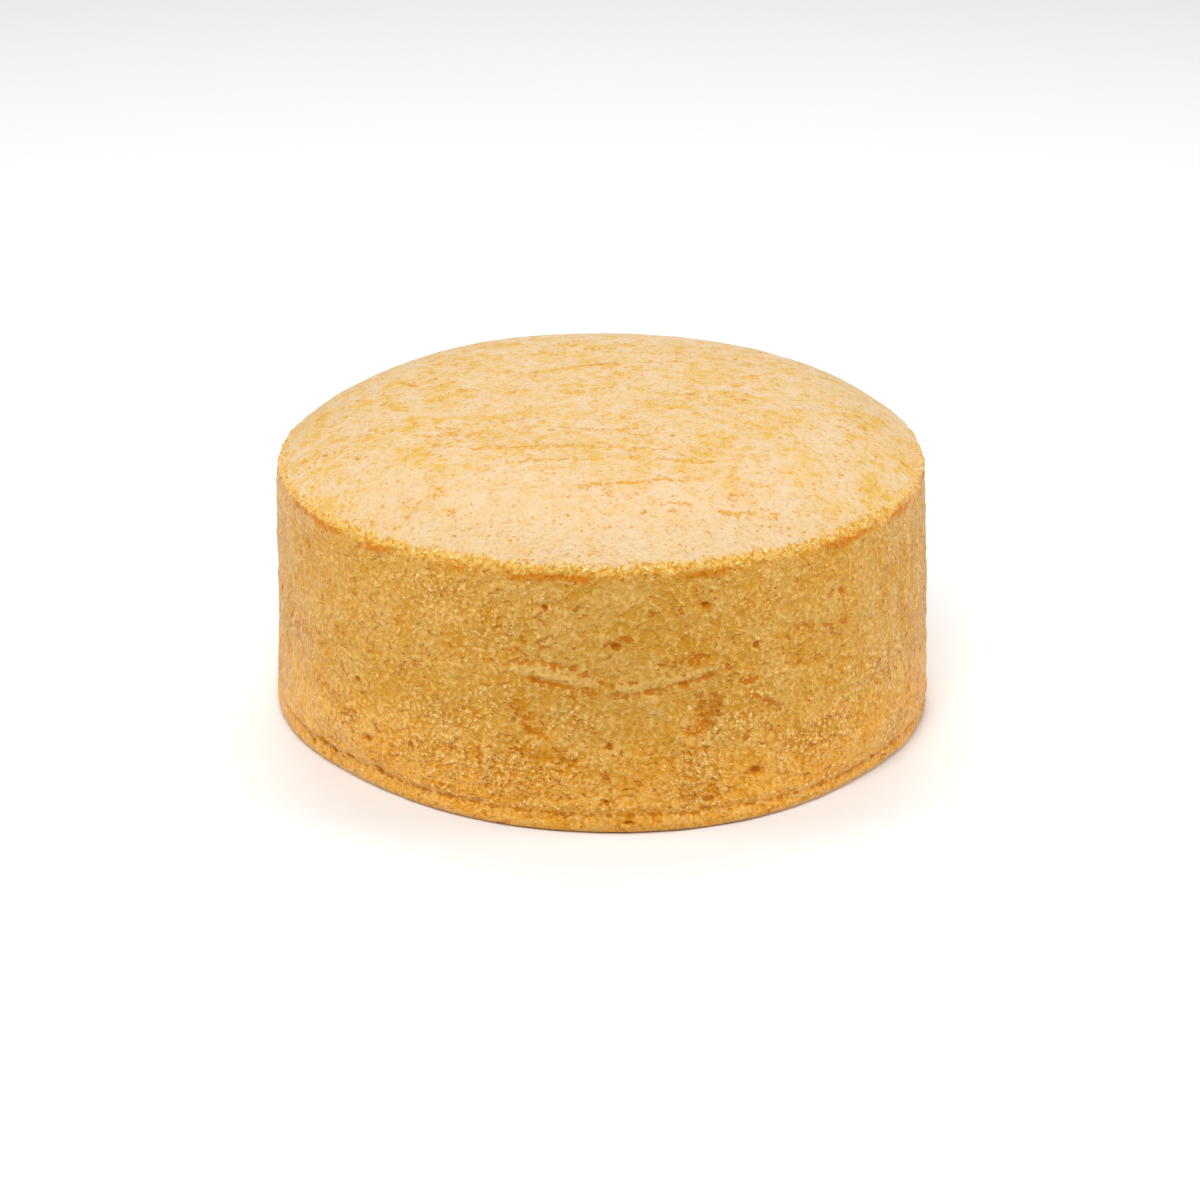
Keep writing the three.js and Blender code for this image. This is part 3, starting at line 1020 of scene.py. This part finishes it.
# painted shade along the dents' edges and under the creases, partly a darker stain of the crumb
shaded_stain = (shade_stained_here + (0.5 - fine) * 1.6).step(0.1, 1.2)
wall = (shaded_stain * 0.75).mix(wall, wall_paint(204, 132, 22))
# a painted highlight on the raised lips beside the creases
lip_highlight = (lipped_here + (fine - 0.5) * 1.2).step(0.3, 1.1)
wall = (lip_highlight * 0.6).mix(wall, wall_paint(234, 190, 112))
wall = (holes * 0.85).mix(wall, wall_paint(197, 111, 6))
wall = (glints * 0.7).mix(wall, wall_paint(254, 220, 143))
print(len(tree.nodes), "nodes so far")

# %% [markdown]
# ## The skin
# The top is a thin skin, peach with yellow clouds, dotted with orange where it is thinnest. It
# wrinkled a little while it cooled, and its wrinkles broke up into rows of orange dots. A second
# material would leave a hard seam at the rim, so the same noises and dots are given other colours
# here, and one mask leads over from the wall's colours to these.

# %% Colours of the skin
TOP_LIGHT = 1.33
TOP_GLOSS = 0.028


def skin_paint(red, green, blue):
    return paint(red, green, blue, TOP_LIGHT, TOP_GLOSS)


skin = warm.mix(skin_paint(247, 212, 163), skin_paint(246, 208, 144))
cloudy = broad * 0.7 + fine * 0.3 + (crowd - 0.5) * 0.05
skin = (cloudy.step(0.47, 0.61) * 0.9).mix(skin, skin_paint(243, 191, 82))
skin = ((0.5 - cloudy).step(0.04, 0.14) * 0.5).mix(skin, skin_paint(251, 227, 196))
skin = (hairs * 0.25).mix(skin, skin_paint(254, 230, 196))
# painted light: the top is painted paler towards the front
skin = (near_side_light * 0.55).mix(skin, skin_paint(250, 220, 180))
skin = (small_dots * 0.75).mix(skin, skin_paint(238, 166, 38))
skin = (big_dots.most(torn_open * crowd) * 0.8).mix(skin, skin_paint(232, 150, 30))
broken = (wrinkled_here + (fine - 0.5) * 4).step(0.55, 1.05)
skin = (broken * 0.75).mix(skin, skin_paint(236, 166, 48))
print(len(tree.nodes), "nodes so far")

# %% [markdown]
# ## The rim and the foot
# Where the skin turns over, a narrow golden band of grain stands out, with a painted highlight along
# its upper edge and dark orange painted shade below it in places. The line of the tin has a row of beads
# above it, painted bright as glints, and painted shade in its groove under them.
# Separate strips of mesh would show their edges, so both are bands of height, and the rim's is
# shifted a little by noise, so that it is no clean circle.

# %% Colours of the rim
RIM_LIGHT = 1.1
GRAIN_LIGHT = 1.05


def rim_paint(red, green, blue):
    return paint(red, green, blue, RIM_LIGHT)


rim_here = edge.step(rim_level - 1.8, rim_level - 0.8) * (1 - edge.step(rim_level, rim_level + 1.1))
shade_under_rim = edge.step(rim_level - 3.4, rim_level - 2.2) * (1 - edge.step(rim_level - 1.5, rim_level - 0.9))
golden = (fine + small * 0.6).step(0.6, 0.95).mix(rim_paint(222, 154, 44), rim_paint(244, 196, 104))
color = skin_here.mix(wall, skin)
# dark orange painted shade under the rim, in patches
color = (shade_under_rim * (crowd + bead_gap_shade - 0.4).step(0, 1)).mix(color, wall_paint(203, 120, 12))
color = (rim_here * 0.85).mix(color, golden)
# a painted highlight of pale grains along the rim's upper edge
rim_highlight_band = edge.step(rim_level - 0.9, rim_level) * (1 - edge.step(rim_level + 0.3, rim_level + 1))
rim_edge_highlight = rim_highlight_band * (1 - bead.step(0.2, 0.4))
color = (rim_edge_highlight * 0.95).mix(color, paint(255, 230, 160, GRAIN_LIGHT))

# %% Colours of the foot, and painted shade in the hollows
groove = above_line.step(-0.8, -0.2) * (1 - above_line.step(0.2, 0.8))
# painted shade in the groove that the tin pressed, broken up by noise
broken_groove_shade = (groove + (0.5 - fine) * 2.5 + (mottle - 0.5) * 0.6).step(0.6, 1.1)
color = (broken_groove_shade * 0.8).mix(color, wall_paint(202, 122, 14))
# painted highlights: glints on the beads over the tin's line
color = (line_here * glints).mix(color, wall_paint(255, 228, 166))
# painted shade in the carved creases and, darker still, in the pits
crease_shade = (carved_here + (0.5 - fine) * 1.4).step(0.12, 0.55)
color = (crease_shade * 0.85).mix(color, wall_paint(202, 122, 8))
color = (carved_here.step(0.4, 0.9) * 0.85).mix(color, wall_paint(206, 116, 6))
tree.links.new(color.socket, shader.inputs["Base Color"])
print(len(tree.nodes), "nodes so far")

# %% [markdown]
# ## Gloss and relief
# Baked crumb is dry: hardly any gloss, and a faint pale sheen where one looks along it, as on
# cloth. The grain that is finer than the mesh goes into a bump, as heights in millimetres that are
# about zero on average, so that no step shows where the wall's grain gives way to the skin's.

# %% Gloss
shader.inputs["Roughness"].default_value = 0.5
shader.inputs["Specular IOR Level"].default_value = 0.08
shader.inputs["Sheen Weight"].default_value = 0.45
shader.inputs["Sheen Roughness"].default_value = 0.2

# %% Relief of the grain
grain = fine - 0.5
wall_relief = (broad - 0.5) * 1.3 + grain * 0.7 + (0.5 - bead) * rough * 0.55 - (torn_open - 0.06) * 0.2
skin_relief = (broad - 0.5) * 0.5 + grain * 0.6
rim_relief = (grain + (small - 0.5) * 0.4) * 0.8 + (0.5 - bead) * 0.4
plain_part = wall_relief * (1 - skin_here) + skin_relief * skin_here
relief_mm = plain_part * (1 - rim_here) + rim_relief * rim_here
bump = start.node("ShaderNodeBump", None, {"Strength": 1.0, "Distance": MM, "Height": relief_mm})
tree.links.new(bump.socket, shader.inputs["Normal"])
cake.data.materials.append(material)
print(len(tree.nodes), "nodes in the whole finish")

# %% [markdown]
# ## Stage and light
# A pale table in a white room. The main light stands high in front, so that the grain throws fine
# shadows, a second one behind it fills the far half of the top, and one at each side brightens the
# ends of the wall, where the dry crumb also catches a pale sheen. A picture of a room around the
# cake would light it too, but few lamps are easier to aim and to weigh against one another.

# %% Floor
FLOOR_SIDE = 6
FLOOR_COLOUR = (0.85, 0.85, 0.85, 1)

deselect_all()
bpy.ops.mesh.primitive_plane_add(size=FLOOR_SIDE)
floor = bpy.context.object
floor.name = "floor"
floor_material = bpy.data.materials.new("floor")
floor_material.use_nodes = True
floor_shader = floor_material.node_tree.nodes["Principled BSDF"]
floor_shader.inputs["Base Color"].default_value = FLOOR_COLOUR
floor_shader.inputs["Roughness"].default_value = 0.9
floor.data.materials.append(floor_material)
print("floor", FLOOR_SIDE, "m wide")

# %% Light of the room
world = bpy.data.worlds.new("studio")
bpy.context.scene.world = world
world.use_nodes = True
room = world.node_tree.nodes["Background"]
room.inputs["Color"].default_value = (1, 1, 1, 1)
room.inputs["Strength"].default_value = 0.35
bpy.context.scene.view_settings.view_transform = "Standard"


# %% Lamps
def area_light(name, place, target, width, power):
    """A round lamp at a place, turned to a target; its width in metres, its power in watts."""
    data = bpy.data.lights.new(name, "AREA")
    data.shape = "DISK"
    data.size = width
    data.energy = power
    light = bpy.data.objects.new(name, data)
    bpy.context.scene.collection.objects.link(light)
    light.location = place
    aim = Vector(target) - Vector(place)
    light.rotation_mode = "QUATERNION"
    light.rotation_quaternion = aim.to_track_quat("-Z", "Y")


HALF_UP = (0, 0, 0.03)

area_light("key", (-0.1, -0.6, 1.0), HALF_UP, 0.5, 7.4)
area_light("above", (0, 0.5, 1.0), (0, 0, 0), 0.6, 4.8)
area_light("left", (-1.0, -0.12, 0.42), HALF_UP, 0.5, 4.6)
area_light("right", (1.0, -0.08, 0.42), HALF_UP, 0.5, 5.2)
print(len(bpy.data.lights), "lamps")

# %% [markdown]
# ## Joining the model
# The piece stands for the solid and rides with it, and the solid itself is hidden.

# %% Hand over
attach(cake, "root")
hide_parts("sponge_cake")
